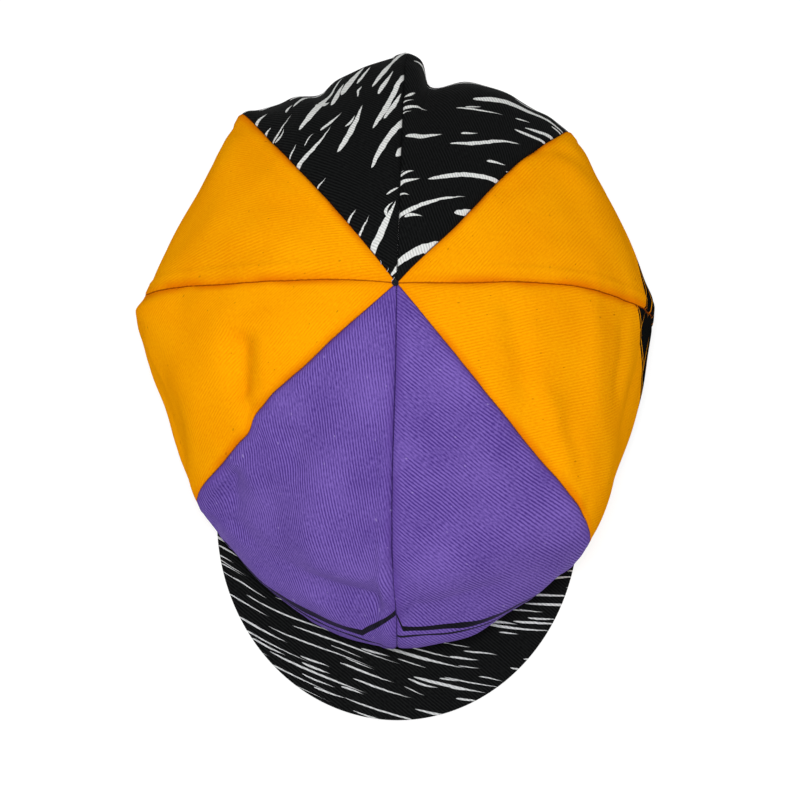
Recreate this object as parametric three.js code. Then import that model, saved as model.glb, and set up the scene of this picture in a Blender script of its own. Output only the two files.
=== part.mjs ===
// A soft eight-panel cycling cap lying on a surface, in millimetres, +Z up, its peak towards -Y.
// The crown's panels are cloth walls that run from the point where the seams meet, out over a
// shoulder and back in to the head band. The peak is sewn to the front of the band.
import * as THREE from "three";

// Head band
const headLength = 198;       // inside, front to back
const headWidth = 164;        // inside, side to side
const headForward = 15;       // its middle lies this far in front of the crown's axis
const bandHeight = 25;
const bandWall = 2;
const sewnClearance = 0.3;    // between the band and what is sewn to it

// Crown
const crownHeight = 120;      // from the surface to the point where the seams meet
const crownOverhang = 33;     // of a full corner past the longer half of the head band
const crownReach = headLength / 2 + crownOverhang;
const crownWall = 1.4;
const seamClearance = 0.3;    // between neighbouring panels
const topHole = 2;            // the panels' tips stop this far from the crown's axis
const foldRise = 10;          // of a full fold
const panelPuff = 5;          // of a panel between its seams
const tuckReach = 16;         // the cloth leaves the band level for about this far

// Shape of the crown's section, as shares of its reach and of its fall to the corner
const topFlat = 0.42;         // of the reach, over which the top is nearly level
const topFall = 0.07;         // of the fall, lost there
const shoulderFall = 0.42;    // of the fall, in which the top turns down to the corner
const wallFall = 0.55;        // of the wall's height, before it turns in to the band
const bellyPull = 1.6;        // the wall's curve is pulled this many bellies past the corner

// Peak
const peakOverhang = 3;       // of each side past the inside of the head band
const peakWidth = headWidth + 2 * peakOverhang;
const peakDepth = 52;         // from the band to the tip, in the middle
const peakRound = 98;         // from the peak's widest line to its tip
const peakEndRound = 24;      // from its widest line back to its ends
const peakWall = 2.6;
const peakLift = 5;           // of its middle where it meets the band
const peakEndTurn = 65;       // degrees round the band from the front to each end
const peakEdgeTurn = 112;     // degrees round the peak's own edge, from its tip to each end
const peakDroop = 0.45;       // share of the lift that is lost at the outer edge

// Mesh steps
const stepsAcross = 8;
const stepsOverTop = 12;
const stepsUnder = 9;
const bandSteps = 64;
const peakStepsAcross = 28;
const peakStepsOut = 6;

// One row for each seam, from the front round by the right, the back and the left. turn is the
// corner's bearing in degrees, reach its share of crownReach and up its share of crownHeight.
// crest is how far the top swells before it turns down, and belly how far the wall below the
// corner swells past it, as a share of crownReach.
const seams = [
  { turn: 0, reach: 0.985, up: 0.5, crest: 0.97, belly: 0.085 },
  { turn: 40.5, reach: 0.985, up: 0.48, crest: 0.93, belly: 0 },
  { turn: 98, reach: 0.885, up: 0.38, crest: 0.95, belly: 0.065 },
  { turn: 141.5, reach: 0.98, up: 0.47, crest: 0.9, belly: 0 },
  { turn: 178.3, reach: 1.025, up: 0.58, crest: 0.9, belly: 0 },
  { turn: 213.5, reach: 0.985, up: 0.475, crest: 0.9, belly: 0 },
  { turn: 259, reach: 0.89, up: 0.4, crest: 0.95, belly: 0.02 },
  { turn: 310, reach: 0.895, up: 0.31, crest: 0.9, belly: 0 },
];

// One row for each panel, the first between the front seam and the one to its right. edge is how
// far the shoulder bows out between its corners, and top and wall how far the cloth swells above
// and below it, all as shares of panelPuff.
const panels = [
  { name: "crown_panel_front_right", cloth: "purple", edge: 0.7, top: 0.5, wall: 0.6 },
  { name: "crown_panel_side_front_right", cloth: "orange", edge: 0.4, top: 0.5, wall: 0.2 },
  { name: "crown_panel_side_back_right", cloth: "orange", edge: 1.1, top: 0.5, wall: 0.5 },
  { name: "crown_panel_back_right", cloth: "black", edge: 0.3, top: 0.3, wall: 0.8 },
  { name: "crown_panel_back_left", cloth: "black", edge: 0.2, top: 0.3, wall: 0.8 },
  { name: "crown_panel_side_back_left", cloth: "orange", edge: 0.4, top: 0.5, wall: 0.8 },
  { name: "crown_panel_side_front_left", cloth: "orange", edge: 0.7, top: 0.5, wall: 0.3 },
  { name: "crown_panel_front_left", cloth: "purple", edge: 0.7, top: 0.5, wall: 0.6 },
];

// One row for each fold. It runs from place round and down to roundEnd and downEnd. round counts
// seams from the front one, and down is 0 where the seams meet, 1 at the shoulder and 2 at the band.
// half is its half width in panels, and rise its height as a share of foldRise, below 0 for a dent.
const folds = [
  { round: 3.8, down: 0.75, roundEnd: 3.82, downEnd: 1.8, half: 0.1, rise: -1 },
  { round: 3.4, down: 0.8, roundEnd: 3.4, downEnd: 1.4, half: 0.18, rise: 0.3 },
  { round: 4.54, down: 0.8, roundEnd: 4.58, downEnd: 1.4, half: 0.1, rise: -0.8 },
  { round: 5.16, down: 0.85, roundEnd: 5.16, downEnd: 1.3, half: 0.17, rise: 0.22 },
  { round: 6.12, down: 0.88, roundEnd: 6.12, downEnd: 1.4, half: 0.14, rise: 0.65 },
  { round: 6.6, down: 0.62, roundEnd: 6.65, downEnd: 0.95, half: 0.1, rise: -0.3 },
  { round: 7.3, down: 0.72, roundEnd: 7.2, downEnd: 1.0, half: 0.16, rise: -0.5 },
  { round: 7.86, down: 0.85, roundEnd: 7.84, downEnd: 1.25, half: 0.07, rise: -0.4 },
  { round: 1.35, down: 0.7, roundEnd: 1.3, downEnd: 1.1, half: 0.12, rise: -0.3 },
];

const cloths = {
  purple: new THREE.MeshStandardMaterial({ color: 0x6d50aa, roughness: 0.9, metalness: 0 }),
  orange: new THREE.MeshStandardMaterial({ color: 0xf8a303, roughness: 0.9, metalness: 0 }),
  black: new THREE.MeshStandardMaterial({ color: 0x101212, roughness: 0.9, metalness: 0 }),
};

const seamCount = seams.length;
const radians = THREE.MathUtils.degToRad;
const lerp = THREE.MathUtils.lerp;
const smooth = THREE.MathUtils.smoothstep;

function wrapped(index) {
  return ((index % seamCount) + seamCount) % seamCount;
}

// 0 up to start, 1 from full to last, and 0 again from end on.
function between(x, start, full, last, end) {
  return smooth(x, start, full) * (1 - smooth(x, last, end));
}

// The share of the peak's lift that is left at this many degrees round the band from its front.
function liftShare(turn) {
  const fromFront = Math.min(Math.abs(turn), 360 - Math.abs(turn));
  return fromFront < peakEndTurn ? Math.cos(radians(90 * fromFront / peakEndTurn)) ** 2 : 0;
}

// A point of the band's outer face, or of a curve that stands clear of it, at a bearing.
function onBand(turn, clearance) {
  const across = headWidth / 2 + bandWall + clearance;
  const along = headLength / 2 + bandWall + clearance;
  const angle = radians(turn);
  return new THREE.Vector3(across * Math.sin(angle), -headForward - along * Math.cos(angle), 0);
}

// The bearing, reach, height and swell of the shoulder at any place round the crown.
function shoulder(round) {
  const index = Math.floor(round);
  const share = round - index;
  const here = seams[wrapped(index)];
  const next = seams[wrapped(index + 1)];
  const panel = panels[wrapped(index)];
  const corner = ({ turn, reach, up }) => new THREE.Vector3(
    crownReach * reach * Math.sin(radians(turn)),
    -crownReach * reach * Math.cos(radians(turn)),
    crownHeight * up,
  );
  const point = corner(here).lerp(corner(next), share);
  const out = new THREE.Vector3(point.x, point.y, 0).normalize();
  const bow = 4 * share * (1 - share);
  point.addScaledVector(out, panelPuff * panel.edge * bow);
  const nextTurn = next.turn + (next.turn < here.turn ? 360 : 0);
  const seamTurn = 360 / seamCount;
  return {
    point,
    out,
    crest: lerp(here.crest, next.crest, share),
    belly: crownReach * lerp(here.belly, next.belly, share),
    sewnTurn: (lerp(here.turn, nextTurn, share) + seamTurn * (wrapped(index) + share)) / 2,
  };
}

// The cloth's outer face without its folds: over the top for down below 1, and under for the rest.
function plainPoint(round, down) {
  const { point, out, crest, belly, sewnTurn } = shoulder(round);
  if (down <= 1) {
    const apex = new THREE.Vector3(0, 0, crownHeight);
    const fall = crownHeight - point.z;
    const early = new THREE.Vector3(point.x * topFlat, point.y * topFlat, crownHeight - topFall * fall);
    const late = new THREE.Vector3(point.x * crest, point.y * crest, point.z + shoulderFall * fall);
    return new THREE.CubicBezierCurve3(apex, early, late, point).getPoint(down);
  }
  const sewn = onBand(sewnTurn, sewnClearance);
  sewn.z = peakWall + sewnClearance + peakLift * liftShare(sewnTurn);
  const high = point.clone().addScaledVector(out, belly * bellyPull);
  high.z = lerp(point.z, sewn.z, wallFall);
  const low = sewn.clone().addScaledVector(out, tuckReach + belly);
  return new THREE.CubicBezierCurve3(point, high, low, sewn).getPoint(down - 1);
}

// The direction out of the cloth, from a surface function of round and down.
function outward(surface, round, down) {
  const stepRound = 0.04;
  const stepDown = 0.02;
  const across = surface(round + stepRound, down).sub(surface(round - stepRound, down));
  const last = Math.min(down + stepDown, 2);
  const first = Math.max(last - 2 * stepDown, 0);
  const along = surface(round, last).sub(surface(round, first));
  return along.cross(across).normalize();
}

// How far the cloth stands off its plain surface: its puff between seams, and the folds.
function relief(round, down) {
  const share = round - Math.floor(round);
  const panel = panels[wrapped(Math.floor(round))];
  const bow = 4 * share * (1 - share);
  const over = panel.top * between(down, 0, 0.6, 0.75, 1);
  const under = panel.wall * between(down, 1, 1.3, 1.5, 2);
  let height = panelPuff * bow * (over + under);
  for (const fold of folds) {
    const along = (down - fold.down) / (fold.downEnd - fold.down);
    const middle = lerp(fold.round, fold.roundEnd, THREE.MathUtils.clamp(along, 0, 1));
    const off = (round - middle + seamCount * 1.5) % seamCount - seamCount / 2;
    const fade = between(along, -0.4, 0.25, 0.75, 1.4);
    height += foldRise * fold.rise * fade * Math.exp(-((off / fold.half) ** 2));
  }
  const flatAtBand = 1 - smooth(down, 1.6, 2);
  return height * flatAtBand;
}

function clothPoint(round, down) {
  const point = plainPoint(round, down);
  return point.addScaledVector(outward(plainPoint, round, down), relief(round, down));
}

// A closed body from two grids of points that lie face to face, front the outer one.
function bodyBetween(front, back) {
  const rows = front.length;
  const columns = front[0].length;
  const positions = [...front.flat(), ...back.flat()].flatMap((p) => p.toArray());
  const frontAt = (row, column) => row * columns + column;
  const backAt = (row, column) => rows * columns + frontAt(row, column);
  const triangles = [];
  const quad = (a, b, c, d) => triangles.push(a, b, c, a, c, d);
  for (let row = 0; row + 1 < rows; row += 1) {
    for (let column = 0; column + 1 < columns; column += 1) {
      const corners = [[row, column], [row + 1, column], [row + 1, column + 1], [row, column + 1]];
      quad(...corners.map(([r, c]) => frontAt(r, c)));
      quad(...corners.reverse().map(([r, c]) => backAt(r, c)));
    }
  }
  const rim = [];
  for (let column = 0; column + 1 < columns; column += 1) rim.push([0, column]);
  for (let row = 0; row + 1 < rows; row += 1) rim.push([row, columns - 1]);
  for (let column = columns - 1; column > 0; column -= 1) rim.push([rows - 1, column]);
  for (let row = rows - 1; row > 0; row -= 1) rim.push([row, 0]);
  rim.forEach(([row, column], index) => {
    const [nextRow, nextColumn] = rim[(index + 1) % rim.length];
    quad(
      frontAt(row, column),
      frontAt(nextRow, nextColumn),
      backAt(nextRow, nextColumn),
      backAt(row, column),
    );
  });
  const geometry = new THREE.BufferGeometry();
  geometry.setAttribute("position", new THREE.Float32BufferAttribute(positions, 3));
  geometry.setIndex(triangles);
  geometry.computeVertexNormals();
  return geometry;
}

// The places down a panel, from its tip to the band.
function stationsDown() {
  const reachPerDown = 3 * topFlat * crownReach;
  const tip = topHole / reachPerDown;
  const over = Array.from({ length: stepsOverTop }, (_, i) => lerp(tip, 1, i / stepsOverTop));
  const under = Array.from({ length: stepsUnder + 1 }, (_, i) => 1 + i / stepsUnder);
  return [...over, ...under];
}

function crownPanel(index) {
  const outer = [];
  const inner = [];
  for (const down of stationsDown()) {
    const width = plainPoint(index, down).distanceTo(plainPoint(index + 1, down));
    const edge = seamClearance / 2 / width;
    const outerRow = [];
    const innerRow = [];
    for (let step = 0; step <= stepsAcross; step += 1) {
      const round = index + lerp(edge, 1 - edge, step / stepsAcross);
      const point = clothPoint(round, down);
      const into = outward(clothPoint, round, down).multiplyScalar(-crownWall);
      outerRow.push(point);
      innerRow.push(point.clone().add(into));
    }
    outer.push(outerRow);
    inner.push(innerRow);
  }
  return bodyBetween(outer, inner);
}

function headBand() {
  const ring = (clearance) => {
    const points = [];
    for (let step = 0; step < bandSteps; step += 1) {
      const { x, y } = onBand(360 * step / bandSteps, clearance);
      points.push(new THREE.Vector2(x, y));
    }
    return points;
  };
  const outline = new THREE.Shape(ring(0));
  outline.holes.push(new THREE.Path(ring(-bandWall)));
  return new THREE.ExtrudeGeometry(outline, { depth: bandHeight, bevelEnabled: false });
}

// A point of the peak's outer edge. turn runs from -peakEndTurn to peakEndTurn like the band's.
function onPeakEdge(turn) {
  const angle = radians(turn * peakEdgeTurn / peakEndTurn);
  const widest = onBand(0, sewnClearance).y - peakDepth + peakRound;
  const length = Math.cos(angle) > 0 ? peakRound : peakEndRound;
  return new THREE.Vector3(peakWidth / 2 * Math.sin(angle), widest - length * Math.cos(angle), 0);
}

function peak() {
  const top = [];
  const bottom = [];
  for (let across = 0; across <= peakStepsAcross; across += 1) {
    const turn = lerp(-peakEndTurn, peakEndTurn, across / peakStepsAcross);
    const sewn = onBand(turn, sewnClearance);
    const edge = onPeakEdge(turn);
    const topRow = [];
    const bottomRow = [];
    for (let out = 0; out <= peakStepsOut; out += 1) {
      const share = out / peakStepsOut;
      const low = sewn.clone().lerp(edge, share);
      low.z = peakLift * liftShare(turn) * (1 - peakDroop * share);
      bottomRow.push(low);
      topRow.push(new THREE.Vector3(low.x, low.y, low.z + peakWall));
    }
    top.push(topRow);
    bottom.push(bottomRow);
  }
  return bodyBetween(bottom, top);
}

function named(name, geometry, material) {
  const mesh = new THREE.Mesh(geometry, material);
  mesh.name = name;
  return mesh;
}

const cap = new THREE.Group();
panels.forEach(({ name, cloth }, index) => cap.add(named(name, crownPanel(index), cloths[cloth])));
cap.add(named("head_band", headBand(), cloths.black));
cap.add(named("peak", peak(), cloths.black));

// The origin is the middle of the cap's own box, at the surface that it lies on.
const middle = new THREE.Box3().setFromObject(cap).getCenter(new THREE.Vector3());
cap.position.set(-middle.x, -middle.y, 0);

export default cap;
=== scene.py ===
# A soft eight-panel cycling cap in cotton twill, lying on a pale floor, seen from above and a
# little in front. Metres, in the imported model's frame: +Z up, the peak towards -Y.
import math
from collections import namedtuple

import bpy
import numpy as np
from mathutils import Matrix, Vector


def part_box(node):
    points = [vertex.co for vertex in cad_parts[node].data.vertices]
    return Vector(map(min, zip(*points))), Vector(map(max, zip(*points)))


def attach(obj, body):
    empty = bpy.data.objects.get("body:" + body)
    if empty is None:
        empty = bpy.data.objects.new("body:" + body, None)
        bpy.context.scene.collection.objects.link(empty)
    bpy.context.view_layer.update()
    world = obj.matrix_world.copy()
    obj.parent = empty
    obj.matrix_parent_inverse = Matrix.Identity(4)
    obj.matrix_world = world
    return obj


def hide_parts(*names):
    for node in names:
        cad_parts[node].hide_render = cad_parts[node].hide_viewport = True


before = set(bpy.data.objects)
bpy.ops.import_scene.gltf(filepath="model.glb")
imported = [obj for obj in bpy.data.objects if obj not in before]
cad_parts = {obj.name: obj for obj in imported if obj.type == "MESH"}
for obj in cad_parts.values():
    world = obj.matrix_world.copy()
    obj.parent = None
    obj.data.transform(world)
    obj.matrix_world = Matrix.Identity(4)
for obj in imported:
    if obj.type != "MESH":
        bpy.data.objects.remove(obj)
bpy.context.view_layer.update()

MM = 0.001
LEVEL = np.array((1.0, 1.0, 0.0))
UP = np.array((0.0, 0.0, 1.0))

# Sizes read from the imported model
band_low, band_high = (np.array(corner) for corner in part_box("head_band"))
peak_low, peak_high = (np.array(corner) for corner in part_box("peak"))
crown_high = max(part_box(node)[1][2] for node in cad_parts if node.startswith("crown_panel"))

# Head band
BAND_WALL = 2.0 * MM
BAND_MIDDLE = (band_low + band_high) / 2
BAND_HALF = (band_high - band_low) / 2
BAND_HEIGHT = band_high[2] - band_low[2]
BAND_STEPS = 240
BAND_EDGE_STEPS = 7
SEWN_CLEARANCE = 0.3 * MM

# Crown
HEAD_FORWARD = 15.0 * MM
CROWN_SPARE = 0.1 * MM
CROWN_OVERHANG = 33.0 * MM
CROWN_AXIS = BAND_MIDDLE + np.array((0, HEAD_FORWARD, 0))
CROWN_HEIGHT = crown_high + CROWN_SPARE
CROWN_REACH = BAND_HALF[1] - BAND_WALL + CROWN_OVERHANG
CROWN_WALL = 1.2 * MM
TIP_RADIUS = 0.7 * MM
FOLD_RISE = 10.0 * MM
PANEL_PUFF = 5.0 * MM
TUCK_REACH = 16.0 * MM
SEAM_GAP = 0.03 * MM

# The crown's section, as shares of its reach and of its fall to the corner
TOP_FLAT = 0.42
TOP_FALL = 0.07
SHOULDER_FALL = 0.42
WALL_FALL = 0.55
BELLY_PULL = 1.6

# Sewn seams: the groove, the allowance pressed to one side and folded in below, and the puckers
GROOVE_DEPTH = 1.0 * MM
GROOVE_HALF = 1.2 * MM
GROOVE_POWER = 1.4
GROOVE_AT_CORNER = 0.25
CORNER_REACH = 0.14
ALLOWANCE = 8.0 * MM
ALLOWANCE_RISE = 0.6 * MM
ALLOWANCE_NEAR = 1.6 * MM
ALLOWANCE_FAR = 2 * MM
FOLDED_IN = 0.8 * MM
FOLDED_EDGE = 1.5 * MM
PUCKER_RISE = 0.45 * MM
PUCKER_REACH = 8.0 * MM
PUCKER_LONG = 13 * MM
PUCKER_LONG_SHARE = 0.6
PUCKER_SHORT = 5.5 * MM
PUCKER_LANES = 7

# Widths of a gore, which is narrow at the tip, between which each of these grows in
GROOVE_GROWS = (2 * MM, 20 * MM)
ALLOWANCE_GROWS = (20 * MM, 45 * MM)
FOLDED_GROWS = (18 * MM, 40 * MM)
PUCKER_GROWS = (8 * MM, 40 * MM)
WALL_GROWS = (0, 12 * MM)

# Places down the cloth, which runs from 0 at the tip by 1 at the corner to 2 at the sewn edge:
# where an effect starts, is full, is last full and ends, or where it begins to end and ends
TOP_PUFF = (0, 0.6, 0.75, 1)
WALL_PUFF = (1, 1.3, 1.5, 2)
SLACK_SPAN = (0.15, 0.5, 1.7, 1.98)
GATHERS_SPAN = (1.25, 1.6, 1.85, 2)
FOLDS_END = (1.6, 2)
CREASES_END = (1.6, 1.9)
FOLDED_END = (1.8, 1.95)
LOOSE_END = (1.93, 2)

# The same places along one fold and one crease, as shares of its length
FOLD_SPAN = (-0.4, 0.25, 0.75, 1.4)
CREASE_SPAN = (-0.25, 0.25, 0.7, 1.25)

# Peak
PEAK_WIDTH = peak_high[0] - peak_low[0]
PEAK_DEPTH = 52.0 * MM
PEAK_ROUND = 98.0 * MM
PEAK_END_ROUND = 24.0 * MM
PEAK_WALL = 2.6 * MM
PEAK_LIFT = 5.0 * MM
PEAK_END_TURN = 65.0
PEAK_EDGE_TURN = 112.0
PEAK_DROOP = 0.45
PEAK_SIDE_SHIFT = 0.4 * MM
PEAK_LEAST_WALL = 0.02

# Mesh steps, how they crowd to the seams and to the peak's edge, how many of them directions
# are averaged over either way, and how many of them noise repeats after
STEPS_ACROSS = 64
STEPS_OVER = 92
STEPS_UNDER = 72
SEAM_CROWDING = 0.78
PEAK_STEPS_ACROSS = 180
PEAK_STEPS_OUT = 60
PEAK_CROWDING = 1.6
PLAIN_SOFTENING = (STEPS_OVER // 6, 4)
FINE_SOFTENING = (2, 4)
RIPPLE_ROWS = 64

# The photograph's view
VIEW_ELEVATION = 72.0
VIEW_DISTANCE = 1.0
VIEW_TARGET = Vector((1.9 * MM, -16.6 * MM, 60.0 * MM))
LENS = 100.0
SENSOR = 36.0

# A row for each light: its name, place, size and power
LIGHTS = (
    ("overhead", (-0.02, -0.34, 1.6), 0.7, 24.5),
    ("key", (-0.8, 0.1, 1.3), 0.4, 1.0),
)
LIT_PLACE = (0, 0, 0.05)
FLOOR_REACH = 40.0


def table(names, *rows):
    """Rows of numbers as one array for each named column."""
    return dict(zip(names.split(), np.array(rows, float).T))


# A row for each seam, from the front one round by the right, the back and the left. turn is the
# corner's bearing, reach and up its shares of the crown's reach and height, crest how far the top
# swells before it turns down, and belly how far the wall swells past the corner. pressed is the
# side that the seam allowance lies to: 1 with the next panel, -1 with the one before.
SEAMS = table(
    "turn reach up crest belly pressed",
    (0, 0.985, 0.5, 0.97, 0.085, -1),
    (40.5, 0.985, 0.48, 0.93, 0.015, -1),
    (98, 0.885, 0.38, 0.95, 0.065, 1),
    (141.5, 0.98, 0.47, 0.9, 0, -1),
    (178.3, 1.025, 0.58, 0.9, 0, 1),
    (213.5, 0.985, 0.475, 0.9, 0, 1),
    (259, 0.89, 0.4, 0.95, 0.02, -1),
    (310, 0.895, 0.31, 0.9, 0, 1),
)
SEAM_COUNT = len(SEAMS["turn"])

# How far each panel's shoulder bows out, and how far it swells above and below it
PANEL_SWELLS = {
    "front_right": (0.7, 0.5, 0.6),
    "side_front_right": (0.4, 0.5, 0.2),
    "side_back_right": (1.1, 0.5, 0.5),
    "back_right": (0.3, 0.3, 0.8),
    "back_left": (0.2, 0.3, 0.8),
    "side_back_left": (0.4, 0.5, 0.8),
    "side_front_left": (0.7, 0.5, 0.3),
    "front_left": (0.7, 0.5, 0.6),
}
PANELS = list(PANEL_SWELLS)
SWELLS = table("edge top wall", *PANEL_SWELLS.values())

# A row for each large fold: from place round and down to round_end and down_end, with its half
# width before and after it, and its rise as a share of FOLD_RISE, below 0 for a dent. Places
# round the crown count its panels from the front seam on, first to the right.
FOLDS = table(
    "round down round_end down_end before after rise",
    (3.8, 0.75, 3.82, 1.8, 0.12, 0.07, -1),
    (3.4, 0.8, 3.4, 1.4, 0.2, 0.16, 0.24),
    (4.25, 0.85, 4.25, 1.3, 0.12, 0.12, 0.08),
    (4.54, 0.8, 4.58, 1.4, 0.09, 0.12, -0.52),
    (4.77, 0.85, 4.77, 1.3, 0.08, 0.08, -0.2),
    (4.98, 0.88, 4.98, 1.3, 0.06, 0.1, 0.26),
    (5.16, 0.85, 5.16, 1.3, 0.1, 0.2, 0.24),
    (6.07, 0.88, 6.07, 1.4, 0.045, 0.13, 0.6),
    (6.26, 0.88, 6.26, 1.4, 0.1, 0.12, 0.3),
    (6.62, 0.88, 6.62, 1.3, 0.2, 0.22, -0.32),
    (7.3, 0.72, 7.2, 1, 0.16, 0.16, -0.5),
    (7.86, 0.85, 7.84, 1.25, 0.07, 0.05, -0.28),
    (1.25, 0.7, 1.2, 1.6, 0.16, 0.16, 0.2),
    (2.09, 0.95, 2.09, 1.5, 0.06, 0.07, 0.16),
    (2.86, 0.8, 2.86, 1.2, 0.1, 0.08, 0.14),
    (3.12, 0.8, 3.12, 1.2, 0.08, 0.1, 0.16),
)

# A row for each small crease: its panel, where it starts and ends on that panel's cloth across
# and down from the tip, its half width and its rise, in millimetres.
CREASES = table(
    "panel across down across_end down_end half rise",
    (6, -4, 76, 20, 85, 7, -5.2),
    (6, 18, 84, 34, 84, 5, -2.6),
    (6, 0, 65, 30, 71, 5, 1.4),
    (6, -34, 96, -10, 76, 9, 1.4),
    (7, -41, 112, -35, 134, 5.5, -4),
    (7, -33, 104, -22, 122, 6, 1.6),
    (7, -18, 80, -10, 96, 8, -2.2),
    (7, 10, 143, 38, 140, 8, -2),
    (7, 20, 130, 44, 127, 9, 1.3),
    (7, 41, 128, 43, 152, 3.5, -2.6),
    (7, 39, 104, 47, 136, 3.2, 1.8),
    (7, -34, 130, -10, 140, 9, 1.2),
    (7, 0, 92, 17, 148, 8, 1.8),
    (7, -50, 150, -42, 160, 7, -1.2),
    (1, 17, 50, -19, 70, 7, -1.6),
    (1, -10, 76, -44, 104, 7, 1.9),
    (1, -20, 92, -44, 112, 5, -0.8),
    (1, 36, 92, -14, 108, 8, 1.8),
    (1, 42, 114, 4, 120, 6, -1.7),
    (2, 34, 108, 6, 118, 8, 1.2),
    (2, 30, 122, 36, 100, 5, -1),
    (5, -30, 118, 20, 100, 9, 1),
    (5, -44, 128, -40, 96, 7, -1.2),
    (0, 30, 122, 44, 128, 7, 1),
    (0, -40, 120, -34, 150, 5, -1.2),
    (3, -12, 126, -20, 90, 7, 1),
    (4, 10, 120, 22, 88, 7, 1),
)

# A row for each stretch of seam that strays sideways: which seam, where down its middle lies and
# how long it is, and the shift towards the next panel, in millimetres.
STRAYS = table(
    "seam down half shift",
    (0, 0.58, 0.32, -2.2),
    (1, 0.8, 0.24, 4),
    (2, 0.2, 0.14, -1.2),
    (2, 0.8, 0.3, -2),
    (2, 0.92, 0.16, -1),
    (3, 0.25, 0.14, -1.6),
    (3, 0.82, 0.18, -1.4),
    (4, 1, 0.1, -1.2),
    (5, 0.55, 0.3, 2.2),
    (5, 0.84, 0.16, 0.4),
    (6, 0.48, 0.26, 4.2),
    (6, 0.85, 0.2, 2.6),
    (7, 0.25, 0.12, -1.2),
    (7, 0.47, 0.12, -3.2),
    (7, 0.545, 0.03, -1.3),
    (7, 0.6, 0.035, 1.4),
    (7, 0.92, 0.14, -2.6),
)
STRAY_REACH = 0.24


def smooth(x, low, high):
    t = np.clip((x - low) / (high - low), 0, 1)
    return t * t * (3 - 2 * t)


def between(x, start, full, last, end):
    return smooth(x, start, full) * (1 - smooth(x, last, end))


def lerp(a, b, t):
    return a + (b - a) * t


def bow(share):
    """A swell of 1 half way between two seams that falls to 0 on them."""
    return 4 * share * (1 - share)


def bezier(a, b, c, d, t):
    t = t[..., None]
    s = 1 - t
    return a * s**3 + 3 * b * s**2 * t + 3 * c * s * t**2 + d * t**3


def ripple(x, y, period, seed):
    """Smooth seeded noise from about -1 to 1. x repeats after period whole steps."""
    values = np.random.default_rng(seed).uniform(-1, 1, (period, RIPPLE_ROWS))
    ix, iy = np.floor(x).astype(int), np.floor(y).astype(int)
    fx, fy = smooth(x - ix, 0, 1), smooth(y - iy, 0, 1)

    def at(i, j):
        return values[i % period, j % RIPPLE_ROWS]

    low = lerp(at(ix, iy), at(ix + 1, iy), fx)
    high = lerp(at(ix, iy + 1), at(ix + 1, iy + 1), fx)
    return lerp(low, high, fy)


def lift_share(turn):
    """The share of the peak's lift that is left at a bearing round the band."""
    from_front = np.minimum(np.abs(turn), 360 - np.abs(turn))
    share = np.cos(np.radians(90 * np.minimum(from_front / PEAK_END_TURN, 1))) ** 2
    return np.where(from_front < PEAK_END_TURN, share, 0)


def on_band(turn, clearance):
    """Points round the band's outer face, or a curve clear of it."""
    angle = np.radians(turn)
    x = BAND_MIDDLE[0] + (BAND_HALF[0] + clearance) * np.sin(angle)
    y = BAND_MIDDLE[1] - (BAND_HALF[1] + clearance) * np.cos(angle)
    return np.stack([x, y, np.zeros_like(x)], -1)


def seam_corners():
    angle = np.radians(SEAMS["turn"])
    reach = CROWN_REACH * SEAMS["reach"]
    return np.stack([reach * np.sin(angle), -reach * np.cos(angle), CROWN_HEIGHT * SEAMS["up"]], -1)


def plain_crown(round_, down):
    """The cloth's outer face without folds: over the top for down below 1, and then under."""
    index = np.floor(round_).astype(int)
    share = round_ - index
    here, after = index % SEAM_COUNT, (index + 1) % SEAM_COUNT
    corners = seam_corners()
    corner = lerp(corners[here], corners[after], share[..., None])
    out = corner * LEVEL
    out /= np.linalg.norm(out, axis=-1, keepdims=True)
    corner = corner + out * (PANEL_PUFF * SWELLS["edge"][here] * bow(share))[..., None]
    crest = lerp(SEAMS["crest"][here], SEAMS["crest"][after], share)[..., None]
    belly = (CROWN_REACH * lerp(SEAMS["belly"][here], SEAMS["belly"][after], share))[..., None]

    fall = CROWN_HEIGHT - corner[..., 2:]
    apex = UP * CROWN_HEIGHT + 0 * corner
    early = corner * LEVEL * TOP_FLAT + UP * (CROWN_HEIGHT - TOP_FALL * fall)
    late = corner * LEVEL * crest + UP * (corner[..., 2:] + SHOULDER_FALL * fall)
    over = bezier(apex, early, late, corner, np.clip(down, 0, 1))

    sewn = sewn_edge(here, share)
    high = corner + out * belly * BELLY_PULL
    high[..., 2] = lerp(corner[..., 2], sewn[..., 2], WALL_FALL)
    low = sewn + out * (TUCK_REACH + belly)
    under = bezier(corner, high, low, sewn, np.clip(down - 1, 0, 1))
    return np.where((down <= 1)[..., None], over, under) + CROWN_AXIS * LEVEL


def sewn_edge(panel, share):
    """The crown's lower edge, sewn round the band, as seen from the crown's axis. A place on it
    lies half way between its seams' bearings and an even spacing of the panels."""
    turns = np.append(SEAMS["turn"], 360.0)
    turn = lerp(turns[panel], turns[panel + 1], share)
    turn = (turn + 360.0 / SEAM_COUNT * (panel + share)) / 2
    edge = on_band(turn, SEWN_CLEARANCE) - CROWN_AXIS * LEVEL
    edge[..., 2] = PEAK_WALL + SEWN_CLEARANCE + PEAK_LIFT * lift_share(turn)
    return edge


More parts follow.
